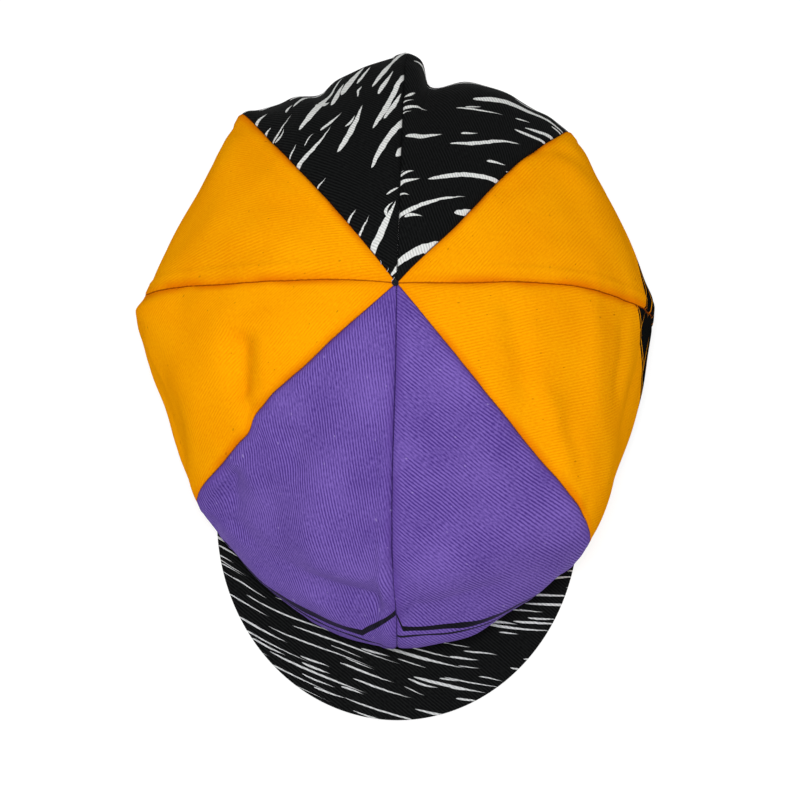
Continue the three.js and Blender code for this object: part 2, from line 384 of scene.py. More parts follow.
def relief(round_, down):
    """How far the cloth stands off its plain surface: puff between the seams, and folds."""
    index = np.floor(round_).astype(int) % SEAM_COUNT
    share = round_ - np.floor(round_)
    over = SWELLS["top"][index] * between(down, *TOP_PUFF)
    under = SWELLS["wall"][index] * between(down, *WALL_PUFF)
    height = PANEL_PUFF * bow(share) * (over + under)
    for start, down_a, end, down_b, before, after, rise in zip(*FOLDS.values()):
        along = (down - down_a) / (down_b - down_a)
        off = wrapped(round_ - lerp(start, end, np.clip(along, 0, 1)))
        half = np.where(off < 0, before, after)
        fade = between(along, *FOLD_SPAN)
        height = height + FOLD_RISE * rise * fade * np.exp(-((off / half) ** 2))
    return height * (1 - smooth(down, *FOLDS_END))


def wrapped(turns):
    """A difference of places round the crown, brought to within half a round of 0."""
    return (turns + SEAM_COUNT * 1.5) % SEAM_COUNT - SEAM_COUNT / 2


def creased(cloth):
    """The rise of the small creases, each a soft ridge or valley between two points."""
    height = np.zeros_like(cloth.rounds)
    for panel, *places, half, rise in zip(*CREASES.values()):
        panel = int(panel)
        x_a, y_a, x_b, y_b = (place * MM for place in places)
        x = wrapped(cloth.rounds - panel - 0.5) * cloth.widths[:, panel, None]
        y = cloth.lengths[:, panel, None]
        run = math.hypot(x_b - x_a, y_b - y_a)
        away = (x_b - x_a) / run, (y_b - y_a) / run
        along = ((x - x_a) * away[0] + (y - y_a) * away[1]) / run
        near = np.clip(along, 0, 1) * run
        off = np.hypot(x - x_a - away[0] * near, y - y_a - away[1] * near)
        fade = between(along, *CREASE_SPAN)
        height += rise * MM * fade * np.exp(-((off / (half * MM)) ** 2))
    return height * (1 - smooth(cloth.downs, *CREASES_END))


def strayed(rounds, downs):
    """How far each point is drawn round the crown by the seams that stray."""
    shift = np.zeros_like(rounds)
    for seam, middle, half, amount in zip(*STRAYS.values()):
        near = np.exp(-((wrapped(rounds - seam) / STRAY_REACH) ** 2))
        shift += amount * MM * near * np.exp(-(((downs - middle) / half) ** 2))
    return shift


def normals_of(points):
    """Outward normals of a grid of points, rows down and columns round, closed round."""
    around = np.roll(points, -1, axis=1) - np.roll(points, 1, axis=1)
    along = np.gradient(points, axis=0)
    normal = np.cross(along, around)
    return normal / np.maximum(np.linalg.norm(normal, axis=-1, keepdims=True), 1e-12)


def softened(directions, rows, columns):
    """Unit directions of a grid of points, averaged over some rows either way and columns."""
    last = len(directions) - 1
    near = (np.clip(np.arange(last + 1) + step, 0, last) for step in range(-rows, rows + 1))
    mean = sum(directions[picked] for picked in near)
    mean = sum(np.roll(mean, step, axis=1) for step in range(-columns, columns + 1))
    return mean / np.linalg.norm(mean, axis=-1, keepdims=True)


def way_round(points):
    """Level unit directions at right angles to the way out from the crown's axis."""
    away = points - CROWN_AXIS
    around = np.stack([-away[..., 1], away[..., 0], np.zeros(away.shape[:-1])], -1)
    return around / np.maximum(np.linalg.norm(around, axis=-1, keepdims=True), 1e-9)


def crown_stations():
    """Rows down the cloth and columns across a panel, closer together by the seams."""
    tip = TIP_RADIUS / (3 * TOP_FLAT * CROWN_REACH)
    over = np.linspace(tip, 1, STEPS_OVER, endpoint=False)
    under = np.linspace(1, 2, STEPS_UNDER + 1)
    even = np.linspace(0, 1, STEPS_ACROSS + 1)
    across = even - SEAM_CROWDING * np.sin(2 * np.pi * even) / (2 * np.pi)
    return np.concatenate([over, under]), across


def lengths_down(lines):
    """How far each row lies from the tip along lines of points that run down the crown."""
    steps = np.linalg.norm(np.diff(lines, axis=0), axis=-1)
    return np.vstack([np.zeros(lines.shape[1]), np.cumsum(steps, axis=0)]) + TIP_RADIUS


class Cloth:
    """The crown's grid, rows down and columns round, measured as flat cloth. widths and lengths
    hold a column for each panel, and the rest a value for each point."""

    def __init__(self):
        down, across = crown_stations()
        around = (np.arange(SEAM_COUNT)[:, None] + across[None, :-1]).ravel()
        self.rounds, self.downs = np.meshgrid(around, down)
        seams = plain_crown(*np.meshgrid(np.arange(SEAM_COUNT, dtype=float), down))
        middles = plain_crown(*np.meshgrid(np.arange(SEAM_COUNT) + 0.5, down))
        self.widths = np.linalg.norm(np.roll(seams, -1, axis=1) - seams, axis=-1)
        self.lengths = lengths_down(middles)

        panel = np.floor(self.rounds).astype(int)
        self.share = self.rounds - panel
        self.seam = np.round(self.rounds).astype(int) % SEAM_COUNT
        self.width = np.take_along_axis(self.widths, panel, axis=1)
        self.length = np.take_along_axis(self.lengths, panel, axis=1)
        self.seam_length = np.take_along_axis(lengths_down(seams), self.seam, axis=1)
        self.from_seam = np.minimum(self.share, 1 - self.share) * self.width

    def place(self):
        """Each point's place on its own gore: across from the middle, and down from the tip."""
        return np.stack([(self.share - 0.5) * self.width, self.length], -1)

    def edge(self):
        """Each point's distance from its nearest seam, and its place down."""
        return np.stack([self.from_seam, self.downs], -1)


def seam_relief(cloth):
    """The sewn groove, and the low ridge where the seam allowance is pressed to one side."""
    groove = -GROOVE_DEPTH * np.exp(-((cloth.from_seam / GROOVE_HALF) ** GROOVE_POWER))
    groove *= smooth(cloth.width, *GROOVE_GROWS)
    near_corner = np.exp(-(((cloth.downs - 1) / CORNER_REACH) ** 2))
    groove *= lerp(1, GROOVE_AT_CORNER, near_corner)
    side = np.where(cloth.share < 0.5, 1, -1) * SEAMS["pressed"][cloth.seam]
    far = ALLOWANCE - ALLOWANCE_FAR
    pressed = between(cloth.from_seam, 0, ALLOWANCE_NEAR, far, ALLOWANCE)
    pressed *= ALLOWANCE_RISE * (side > 0) * smooth(cloth.width, *ALLOWANCE_GROWS)
    return groove + pressed


def puckers(cloth):
    """Short waves along each seam, which fade away from it."""
    lane = cloth.seam * PUCKER_LANES + 0.5
    period = SEAM_COUNT * PUCKER_LANES
    waves = ripple(lane, cloth.seam_length / PUCKER_SHORT, period, seed=3)
    waves += PUCKER_LONG_SHARE * ripple(lane, cloth.seam_length / PUCKER_LONG, period, seed=4)
    fade = np.exp(-cloth.from_seam / PUCKER_REACH)
    return PUCKER_RISE * waves * fade * smooth(cloth.width, *PUCKER_GROWS)


def waves_over(cloth, rise, steps_round, steps_down, seed):
    """Waves all over the cloth, by their steps round each panel and down to the corner."""
    x, y = cloth.rounds * steps_round, cloth.downs * steps_down
    return rise * MM * ripple(x, y, SEAM_COUNT * steps_round, seed)


def loose_relief(cloth):
    """The puckers, the slack of soft cloth, and its gathers above the sewn edge."""
    slack = waves_over(cloth, 1.0, 3, 5, seed=5)
    slack += waves_over(cloth, 0.45, 8, 11, seed=6)
    slack *= between(cloth.downs, *SLACK_SPAN)
    gathers = waves_over(cloth, 1.3, 5, 1.5, seed=7) * between(cloth.downs, *GATHERS_SPAN)
    return (puckers(cloth) + slack + gathers) * (1 - smooth(cloth.downs, *LOOSE_END))


def cloth_wall(cloth):
    """How thick the cloth is: more where the seam allowances are folded in."""
    folded_in = 1 - smooth(cloth.from_seam, ALLOWANCE - FOLDED_EDGE, ALLOWANCE)
    folded_in *= smooth(cloth.width, *FOLDED_GROWS) * (1 - smooth(cloth.downs, *FOLDED_END))
    return CROWN_WALL + FOLDED_IN * folded_in


def crown_faces(cloth):
    """Outer and inner faces of the whole crown."""
    plain = plain_crown(cloth.rounds, cloth.downs)
    off_plain = softened(normals_of(plain), *PLAIN_SOFTENING)
    coarse = plain + off_plain * relief(cloth.rounds, cloth.downs)[..., None]
    coarse = coarse + normals_of(coarse) * creased(cloth)[..., None]
    coarse = coarse + way_round(coarse) * strayed(cloth.rounds, cloth.downs)[..., None]
    fine = seam_relief(cloth) + loose_relief(cloth)
    outer = coarse + softened(normals_of(coarse), *FINE_SOFTENING) * fine[..., None]
    inner = outer - off_plain * cloth_wall(cloth)[..., None]
    inner = lerp(outer - UP * CROWN_WALL, inner, smooth(cloth.width, *WALL_GROWS)[..., None])
    return outer, inner


def sheet_faces(rows, columns):
    """Quads of a closed body from two grids of points, the front one first, facing out."""
    grid = np.arange(rows * columns).reshape(rows, columns)
    front = np.stack([grid[:-1, :-1], grid[1:, :-1], grid[1:, 1:], grid[:-1, 1:]], -1)
    front = front.reshape(-1, 4)
    back = front[:, ::-1] + rows * columns
    rim = np.concatenate([grid[0, :-1], grid[:-1, -1], grid[-1, :0:-1], grid[:0:-1, 0]])
    after = np.roll(rim, -1)
    edge = np.stack([rim, after, after + rows * columns, rim + rows * columns], -1)
    return np.concatenate([front, back, edge])


def new_piece(name, points, faces, material, **coordinates):
    """A smooth-shaded mesh object. coordinates holds maps, with a pair of numbers a point."""
    mesh = bpy.data.meshes.new(name)
    mesh.from_pydata(points.tolist(), [], [list(face) for face in faces])
    mesh.polygons.foreach_set("use_smooth", np.ones(len(mesh.polygons), bool))
    corner = np.empty(len(mesh.loops), int)
    mesh.loops.foreach_get("vertex_index", corner)
    for map_name, pairs in coordinates.items():
        layer = mesh.uv_layers.new(name=map_name)
        layer.uv.foreach_set("vector", pairs[corner].astype(np.float32).ravel())
    mesh.materials.append(material)
    mesh.update()
    piece = bpy.data.objects.new(name, mesh)
    bpy.context.scene.collection.objects.link(piece)
    return piece


class Nodes:
    """The node tree of a material or a world, with short calls for the nodes needed here."""

    def __init__(self, owner, shader="Principled BSDF"):
        owner.use_nodes = True
        self.owner = owner
        self.tree = owner.node_tree
        self.shader = self.tree.nodes[shader]

    def add(self, kind, **settings):
        node = self.tree.nodes.new(kind)
        for key, value in settings.items():
            setattr(node, key, value)
        return node

    def put(self, socket, value):
        if isinstance(value, bpy.types.NodeSocket):
            self.tree.links.new(value, socket)
        else:
            socket.default_value = value

    def math(self, operation, *values):
        node = self.add("ShaderNodeMath", operation=operation)
        for socket, value in zip(node.inputs, values):
            self.put(socket, value)
        return node.outputs[0]

    def ramp(self, value, low, high, to_low=0.0, to_high=1.0):
        node = self.add("ShaderNodeMapRange", interpolation_type="SMOOTHSTEP")
        for socket, item in zip(node.inputs, (value, low, high, to_low, to_high)):
            self.put(socket, item)
        return node.outputs[0]

    def mix(self, share, a, b):
        node = self.add("ShaderNodeMix", data_type="RGBA")
        self.put(node.inputs["Factor"], share)
        self.put(node.inputs[6], a)
        self.put(node.inputs[7], b)
        return node.outputs[2]

    def noise(self, vector, size, detail=2.0):
        """Smooth noise about a half, whose grains have a size."""
        node = self.add("ShaderNodeTexNoise")
        self.put(node.inputs["Vector"], vector)
        node.inputs["Scale"].default_value = 1 / size
        node.inputs["Detail"].default_value = detail
        return node.outputs[0]

    def chance(self, *place):
        """Random numbers from 0 to 1 for each place: one by itself, and three as a colour."""
        node = self.add("ShaderNodeTexWhiteNoise", noise_dimensions=f"{len(place)}D")
        self.put(node.inputs["Vector"], self.vector(*place))
        return node.outputs["Value"], node.outputs["Color"]

    def vector(self, x, y, z=0.0):
        node = self.add("ShaderNodeCombineXYZ")
        for socket, value in zip(node.inputs, (x, y, z)):
            self.put(socket, value)
        return node.outputs[0]

    def parts(self, vector):
        node = self.add("ShaderNodeSeparateXYZ")
        self.put(node.inputs[0], vector)
        return node.outputs

    def turned(self, x, y, degrees):
        """Coordinates along and across a direction that leans this far from +Y towards +X."""
        cos, sin = math.cos(math.radians(degrees)), math.sin(math.radians(degrees))
        along = self.math("ADD", self.math("MULTIPLY", x, sin), self.math("MULTIPLY", y, cos))
        across = self.math("SUBTRACT", self.math("MULTIPLY", x, cos), self.math("MULTIPLY", y, sin))
        return along, across

    def wave(self, value, pitch):
        return self.math("SINE", self.math("MULTIPLY", value, 2 * math.pi / pitch))

    def held(self, value):
        """A value kept from 0 to 1."""
        return self.math("MINIMUM", self.math("MAXIMUM", value, 0.0), 1.0)

    def swayed(self, value, noise, reach):
        """A value moved both ways by noise about a half, over a reach in all."""
        return self.math("MULTIPLY_ADD", self.math("SUBTRACT", noise, 0.5), reach, value)


# Twill: its ridges' pitch and drift, how much of their depth is left in worn patches, and the
# floats of yarn, which are drawn out along the ridges
TWILL_PITCH = 1.3 * MM
TWILL_DRIFT = 1.6 * MM
TWILL_WORN = 0.4
FLOAT_STRETCH = 0.36
FLOAT_RISE = 1.3
BLACK_TWILL_DEPTH = 0.5

WHITE = (1, 1, 1, 1)
SHINE = 0.04


def twill_height(n, x, y, turn, deepest):
    """Slanting ridges of cotton twill from 0 to 1, broken into uneven yarn floats."""
    along, across = n.turned(x, y, turn)
    drift = n.noise(n.vector(x, y), size=30 * MM, detail=1.0)
    across = n.math("MULTIPLY_ADD", drift, TWILL_DRIFT, across)
    ridge = n.wave(across, TWILL_PITCH)
    worn = n.noise(n.vector(x, y, 3.0), size=11 * MM)
    depth = n.ramp(worn, 0.35, 0.62, TWILL_WORN * deepest, deepest)
    floats = n.noise(n.vector(n.math("MULTIPLY", along, FLOAT_STRETCH), across), size=0.62 * MM)
    return n.swayed(n.math("MULTIPLY_ADD", ridge, depth, 0.5), floats, FLOAT_RISE)


def finish_cloth(n, colour, height, strength, sheen, tint=WHITE, shine=SHINE):
    """Links a cloth's colour, roughness and bump to its shader."""
    bump = n.add("ShaderNodeBump")
    bump.inputs["Strength"].default_value = strength
    bump.inputs["Distance"].default_value = 0.25 * MM
    n.put(bump.inputs["Height"], height)
    settings = {
        "Normal": bump.outputs[0],
        "Base Color": colour,
        "Roughness": n.ramp(height, 0.0, 1.0, to_low=0.95, to_high=0.82),
        "Specular IOR Level": shine,
        "Specular Tint": tint,
        "Sheen Weight": sheen,
        "Sheen Roughness": 0.45,
        "Sheen Tint": tint,
    }
    for name, value in settings.items():
        n.put(n.shader.inputs[name], value)
    return n.owner


def map_pair(n, name="Cloth"):
    x, y, _ = n.parts(n.add("ShaderNodeUVMap", uv_map=name).outputs[0])
    return x, y


def either(n, *masks):
    found = masks[0]
    for mask in masks[1:]:
        found = n.math("MAXIMUM", found, mask)
    return found


# A dyed cloth: its colours, on the twill's ridges and between them with the darker one painted
# shade of the weave, of its flecks, of the painted shade beside the seams, of the painted shadow in
# them and the gloss's tint; its ridges' depth, how often it has a large fleck, and its bump and
# gloss
Dye = namedtuple("Dye", "ridge valley fleck stain shadow tint depth flecked bump sheen shine")
DYES = {
    "purple": Dye(
        ridge=(0.194, 0.119, 0.447, 1),
        valley=(0.063, 0.031, 0.203, 1),
        fleck=(0.36, 0.28, 0.58, 1),
        stain=(0.10, 0.05, 0.27, 1),
        shadow=(0.022, 0.010, 0.08, 1),
        tint=(0.5, 0.35, 1.0, 1),
        depth=0.45,
        flecked=0.03,
        bump=0.4,
        sheen=0.1,
        shine=SHINE,
    ),
    "orange": Dye(
        ridge=(0.92, 0.375, 0.0012, 1),
        valley=(0.82, 0.265, 0.0004, 1),
        fleck=(0.36, 0.10, 0.002, 1),
        stain=(0.70, 0.16, 0.0006, 1),
        shadow=(0.30, 0.055, 0.001, 1),
        tint=(1.0, 0.45, 0.02, 1),
        depth=0.32,
        flecked=0.10,
        bump=0.32,
        sheen=0.0,
        shine=0.0,
    ),
}

FLECK_TURN = 37.0
FLECK_STRENGTH = 0.5


def dyed(n, x, y, height, dye):
    """A dye's colour over the twill: darker between the ridges as painted shade of the weave, and
    uneven over the cloth.
    """
    patch = n.noise(n.vector(x, y, 8.0), size=22 * MM, detail=3.0)
    share = n.held(n.swayed(n.ramp(height, 0.0, 1.0), patch, reach=0.7))
    return n.mix(share, dye.valley, dye.ridge)


def seam_distance(n):
    """How far the cloth is from its nearest seam, a little uneven."""
    gap, _ = map_pair(n, "Edge")
    x, y = map_pair(n)
    return n.swayed(gap, n.noise(n.vector(x, y), size=1.6 * MM), reach=0.5 * MM)


def painted_seam_shade(n, colour, stain):
    """Painted shade in a soft darker band along the seams, stronger in some patches."""
    x, y = map_pair(n)
    patch = n.noise(n.vector(x, y, 2.0), size=26 * MM, detail=1.0)
    share = n.ramp(patch, 0.35, 0.65, to_low=0.3, to_high=0.75)
    near = n.ramp(seam_distance(n), 0.4 * MM, 5.0 * MM, to_low=1.0, to_high=0.0)
    return n.mix(n.math("MULTIPLY", near, share), colour, stain)


def sewn_line(n, colour, shadow):
    """A thin line of thread and shadow in the seams."""
    near = n.ramp(seam_distance(n), 0.14 * MM, 0.5 * MM, to_low=0.85, to_high=0.0)
    return n.mix(near, colour, shadow)


def specks(n, x, y, spacing, size, keep):
    """Sparse short flecks along the threads: one in a cell, for the keep share of the cells."""
    stretch, least, soft_edge = 0.5, 0.35, 0.3
    cells = n.add("ShaderNodeTexVoronoi", voronoi_dimensions="2D")
    along, across = n.turned(x, y, FLECK_TURN)
    n.put(cells.inputs["Vector"], n.vector(n.math("MULTIPLY", along, stretch), across))
    cells.inputs["Scale"].default_value = 1 / spacing
    chance, weight, _ = n.parts(cells.outputs["Color"])
    largest = size / spacing
    reach = n.ramp(weight, 0.0, 1.0, least * largest, largest)
    inside = n.math("SUBTRACT", reach, cells.outputs["Distance"])
    dot = n.ramp(inside, 0.0, soft_edge * largest)
    return n.math("MULTIPLY", n.math("LESS_THAN", chance, keep), dot)


def flecked(n, x, y, colour, dye):
    """A dyed cloth's colour with a few large flecks and some tiny ones."""
    large = specks(n, x, y, spacing=6 * MM, size=0.5 * MM, keep=dye.flecked)
    small = specks(n, x, y, spacing=2.6 * MM, size=0.3 * MM, keep=0.04)
    return n.mix(n.math("MULTIPLY", either(n, large, small), FLECK_STRENGTH), colour, dye.fleck)


# A kind of brush stroke: the length and the spacing of its cells, a stroke's thickness, how many
# of the cells have a stroke, and how much the rows sway
Strokes = namedtuple("Strokes", "length spacing thick keep sway")
BACK_STROKES = (
    Strokes(64 * MM, 12 * MM, 2.0 * MM, 0.8, 1.0),
    Strokes(38 * MM, 9 * MM, 1.3 * MM, 0.35, 1.0),
    Strokes(17 * MM, 8 * MM, 0.9 * MM, 0.25, 1.0),
)
PEAK_STROKES = (
    Strokes(60 * MM, 4.4 * MM, 0.62 * MM, 0.95, 0.7),
    Strokes(26 * MM, 3.8 * MM, 0.5 * MM, 0.5, 0.7),
)
BARE_STROKES = Strokes(50 * MM, 7 * MM, 0.6 * MM, 0.8, 1.0)

ROW_SWAY = 2.6
ROW_STAGGER = 7.0
OFF_ROW = 0.3
STROKE_ROUGH = 0.5
STROKE_EDGE = 0.12 * MM


def tapered(n, off, half):
    """A stroke's thickness along it: most near one end, and drawn out to the other."""
    t = n.held(n.math("MULTIPLY_ADD", n.math("DIVIDE", off, half), 0.5, 0.5))
    return n.math("MULTIPLY", n.math("POWER", t, 0.5), n.math("SUBTRACT", 1.0, t))


def strokes(n, along, across, seed, kind):
    """A mask of brush strokes, one in each of some of the cells of staggered, swaying rows."""
    sway = n.noise(n.vector(along, across, seed), size=1.2 * kind.length, detail=1.0)
    across = n.swayed(across, sway, ROW_SWAY * kind.sway * kind.spacing)
    row = n.math("FLOOR", n.math("DIVIDE", across, kind.spacing))
    moved, _ = n.chance(row, seed)
    x = n.math("MULTIPLY_ADD", along, 1 / kind.length, n.math("MULTIPLY", moved, ROW_STAGGER))
    cell = n.math("FLOOR", x)
    chosen, chances = n.chance(cell, row, seed)
    size, place, weight = n.parts(chances)

    shortest_half, more_half = 0.18, 0.30
    thinnest, more_thick = 1.3 * kind.thick, 1.7 * kind.thick
    half = n.math("MULTIPLY_ADD", size, more_half, shortest_half)
    room = n.math("SUBTRACT", 0.5, half)
    middle = n.math("MULTIPLY", n.math("MULTIPLY_ADD", place, 2.0, -1.0), room)
    off = n.math("SUBTRACT", n.math("SUBTRACT", x, cell), n.math("ADD", middle, 0.5))
    widest = n.math("MULTIPLY_ADD", weight, more_thick, thinnest)
    thick = n.math("MULTIPLY", tapered(n, off, half), widest)

    row_middle = n.math("MULTIPLY", n.math("ADD", row, 0.5), kind.spacing)
    shift = n.math("MULTIPLY", n.math("SUBTRACT", place, weight), OFF_ROW * kind.spacing)
    rough = n.noise(n.vector(along, across, seed + 5.0), size=3 * MM, detail=1.0)
    shift = n.swayed(shift, rough, STROKE_ROUGH * kind.thick)
    miss = n.math("ABSOLUTE", n.math("ADD", n.math("SUBTRACT", across, row_middle), shift))
    mask = n.ramp(n.math("SUBTRACT", thick, miss), 0.0, STROKE_EDGE)
    return n.math("MULTIPLY", mask, n.math("LESS_THAN", chosen, kind.keep))


# A hand-drawn line: how far below its course it lies, how far it wanders and how thick it is
Line = namedtuple("Line", "down wander thick")
UPPER_LINE = Line(0.0, 3 * MM, 2.4 * MM)
LOWER_LINE = Line(5 * MM, 6 * MM, 1.1 * MM)
BARE_LINE = Line(3.2 * MM, 6 * MM, 0.6 * MM)
LINE_EDGE = 0.25 * MM


def brush_line(n, along, off, seed, line):
    """A mask of one hand-drawn line by its course at off = 0."""
    off = n.math("SUBTRACT", off, line.down)
    course = n.noise(n.vector(along, seed), size=38 * MM, detail=1.5)
    weight = n.noise(n.vector(along, seed + 9.0), size=22 * MM, detail=1.0)
    half = n.ramp(weight, 0.35, 0.7, to_low=0.55 * line.thick, to_high=line.thick)
    miss = n.math("ABSOLUTE", n.swayed(off, course, line.wander))
    return n.ramp(n.math("SUBTRACT", half, miss), 0.0, LINE_EDGE)


# Printed colours between the twill's ridges and on them, the darker ones painted shade of the
# weave, and the heights that count as such
INK_WITH_WEAVE_SHADE = ((0.0022, 0.0024, 0.0026, 1), (0.0085, 0.0092, 0.0092, 1))
WHITE_PAINT_WITH_WEAVE_SHADE = ((0.52, 0.53, 0.52, 1), (0.76, 0.77, 0.75, 1))
GREY_PAINT_WITH_WEAVE_SHADE = ((0.44, 0.45, 0.45, 1), (0.62, 0.63, 0.63, 1))
INK_HEIGHTS = (0.1, 0.9)
PAINT_HEIGHTS = (0.1, 0.8)

# A printed gore: its dye, its twill's slant, how far from its tip the black starts, how much
# further for each step across, how deep a line runs above the solid black, or 0 for no line, and
# where the line springs up to a point, from how near and how far, in degrees and millimetres
Print = namedtuple("Print", "dye turn start slope depth spring reach leap")
PRINTS = {
    "front_right": Print("purple", 31.0, 170, 0.30, 24, -46, 3, 12),
    "side_front_right": Print("orange", 38.0, 179, -1.04, 0, 0, 1, 0),
    "side_back_right": Print("orange", 21.0, 166, 0.64, 0, 0, 1, 0),
    "side_back_left": Print("orange", 34.0, 176, 0.0, 0, 0, 1, 0),
    "side_front_left": Print("orange", 29.0, 174, 0.0, 0, 0, 1, 0),
    "front_left": Print("purple", 33.0, 168, -0.10, 20, 54, 18, 20),
}

LOWEST_START = 178.0 * MM
SOLID_EDGE = 0.3 * MM
BARE_TURN = 84.0


def sprung(n, x, off, gore):
    """The distance below a line that springs up to a point."""
    away = n.math("ABSOLUTE", n.math("SUBTRACT", x, gore.spring * MM))
    share = n.math("MAXIMUM", n.math("MULTIPLY_ADD", away, -1 / (gore.reach * MM), 1.0), 0.0)
    return n.math("MULTIPLY_ADD", share, gore.leap * MM, off)


def solid_black(n, x, y, off, seed):
    """A mask of the solid black below its edge, less one bare line and thin bare strokes."""
    course = n.noise(n.vector(x, seed + 4.0), size=30 * MM, detail=1.5)
    off = n.swayed(off, course, reach=5 * MM)
    bare = brush_line(n, x, off, seed + 6, BARE_LINE)
    thin = strokes(n, *n.turned(x, y, BARE_TURN), seed, BARE_STROKES)
    inked = n.math("SUBTRACT", 1.0, either(n, thin, bare))
    return n.math("MULTIPLY", n.ramp(off, 0.0, SOLID_EDGE), inked)


def black_print(n, x, y, gore, seed):
    """A mask of a dyed gore's print: solid black low down, and loose lines above it."""
    start = n.math("MULTIPLY_ADD", x, gore.slope, gore.start * MM)
    off = n.math("SUBTRACT", y, n.math("MINIMUM", start, LOWEST_START))
    black = solid_black(n, x, y, n.math("SUBTRACT", off, gore.depth * MM), seed)
    if gore.depth == 0:
        return black
    upper = brush_line(n, x, sprung(n, x, off, gore), seed, UPPER_LINE)
    lower = brush_line(n, x, off, seed + 2, LOWER_LINE)
    return either(n, black, upper, lower)


def dyed_panel(name, seed):
    """A dyed gore, printed with a loose black line and solid black below it."""
    gore = PRINTS[name]
    dye = DYES[gore.dye]
    n = Nodes(bpy.data.materials.new(f"{name}_twill"))
    x, y = map_pair(n)
    height = twill_height(n, x, y, gore.turn, dye.depth)
    # The dye's colour, with painted shade between the twill's ridges and a band of painted shade
    # beside the seams
    colour = painted_seam_shade(n, dyed(n, x, y, height, dye), dye.stain)
    colour = flecked(n, x, y, colour, dye)
    # The black ink, with painted shade between the twill's ridges
    ink_with_weave_shade = n.mix(n.ramp(height, *INK_HEIGHTS), *INK_WITH_WEAVE_SHADE)
    colour = n.mix(black_print(n, x, y, gore, seed), colour, ink_with_weave_shade)
    colour = sewn_line(n, colour, dye.shadow)
    return finish_cloth(n, colour, height, dye.bump, dye.sheen, dye.tint, dye.shine)


def painted(n, along, across, height, kinds, seeds, paint_with_weave_shade):
    """The colour of black cloth printed with brush strokes of several kinds, both darker between
    the twill's ridges as painted shade.
    """
    masks = [strokes(n, along, across, seed, kind) for seed, kind in zip(seeds, kinds)]
    ground = n.mix(n.ramp(height, *INK_HEIGHTS), *INK_WITH_WEAVE_SHADE)
    return n.mix(either(n, *masks), ground, n.mix(n.ramp(height, *PAINT_HEIGHTS), *paint_with_weave_shade))


# A streaked gore: its twill's slant, and how its strokes lean and bend, with their seed
Streaks = namedtuple("Streaks", "turn lean bend seed")
STREAKS = {
    "back_right": Streaks(37.0, -38.0, 2.6, 1.0),
    "back_left": Streaks(37.0, -52.0, -1.6, 6.0),
}

# The peak: its twill's slant, how its strokes lean and bend, and their seeds
PEAK_TURN = -50.0
PEAK_LEAN = 0.30
PEAK_BEND = -1.9
PEAK_SEEDS = (3.0, 4.0)


def streaked_panel(name):
    """A black gore printed with white strokes that lean across it."""
    gore = STREAKS[name]
    n = Nodes(bpy.data.materials.new(f"{name}_twill"))
    x, y = map_pair(n)
    height = twill_height(n, x, y, gore.turn, BLACK_TWILL_DEPTH)
    along, across = n.turned(x, y, gore.lean)
    across = n.math("MULTIPLY_ADD", n.math("MULTIPLY", along, along), gore.bend, across)
    seeds = (gore.seed, gore.seed + 2, gore.seed + 4)
    colour = painted(n, along, across, height, BACK_STROKES, seeds, WHITE_PAINT_WITH_WEAVE_SHADE)
    return finish_cloth(n, sewn_line(n, colour, INK_WITH_WEAVE_SHADE[0]), height, strength=0.45, sheen=0.0)


def peak_cloth():
    """The peak's black twill, printed with thin grey strokes that sweep across it."""
    n = Nodes(bpy.data.materials.new("peak_twill"))
    x, y = map_pair(n)
    height = twill_height(n, x, y, PEAK_TURN, BLACK_TWILL_DEPTH)
    lean = n.math("MULTIPLY", x, n.math("MULTIPLY_ADD", x, PEAK_BEND, PEAK_LEAN))
    across = n.math("ADD", y, lean)
    colour = painted(n, x, across, height, PEAK_STROKES, PEAK_SEEDS, GREY_PAINT_WITH_WEAVE_SHADE)
    return finish_cloth(n, colour, height, strength=0.3, sheen=0.0)


RIB_RISE = 0.35
# Colours of the band between its ribs and on them, the darker one painted shade
BAND_COLOURS_WITH_RIB_SHADE = ((0.005, 0.005, 0.006, 1), (0.022, 0.022, 0.024, 1))
TWIST_RISE = 0.4
# Colours of the threads in the grooves of their twist and on it, the darker ones painted shade
BLACK_THREAD_WITH_TWIST_SHADE = ((0.003, 0.003, 0.005, 1), (0.02, 0.022, 0.026, 1))
PALE_THREAD_WITH_TWIST_SHADE = ((0.25, 0.26, 0.3, 1), (0.5, 0.5, 0.55, 1))


def band_cloth():
    n = Nodes(bpy.data.materials.new("band_cloth"))
    x, y = map_pair(n)
    fuzz = n.noise(n.vector(x, y), size=0.7 * MM, detail=3.0)
    height = n.math("MULTIPLY_ADD", n.wave(x, pitch=3.2 * MM), RIB_RISE, fuzz)
    # Darker between the ribs as painted shade
    colour = n.mix(n.ramp(height, 0.2, 0.9), *BAND_COLOURS_WITH_RIB_SHADE)
    return finish_cloth(n, colour, height, strength=0.6, sheen=0.1)


def thread_cloth(name, colours):
    n = Nodes(bpy.data.materials.new(name))
    x, y = map_pair(n)
    twist = n.wave(n.math("ADD", x, y), pitch=0.6 * MM)
    height = n.math("MULTIPLY_ADD", twist, TWIST_RISE, 0.5)
    # Darker in the twist's grooves as painted shade
    colour = n.mix(n.ramp(height, 0.0, 1.0), *colours)
    return finish_cloth(n, colour, height, strength=0.4, sheen=0.1)


def make_materials():
    materials = {
        "back_right": streaked_panel("back_right"),
        "back_left": streaked_panel("back_left"),
        "peak": peak_cloth(),
        "band": band_cloth(),
        "thread": thread_cloth("thread", BLACK_THREAD_WITH_TWIST_SHADE),
        "loose_thread": thread_cloth("loose_thread", PALE_THREAD_WITH_TWIST_SHADE),
    }
    for index, name in enumerate(PRINTS):
        materials[name] = dyed_panel(name, 3.0 * index + 1)
    return materials


SLOTS = {name: f"{gore.dye}_twill" for name, gore in PRINTS.items()}
SLOTS.update(back_right="streaked_twill", back_left="streaked_twill")


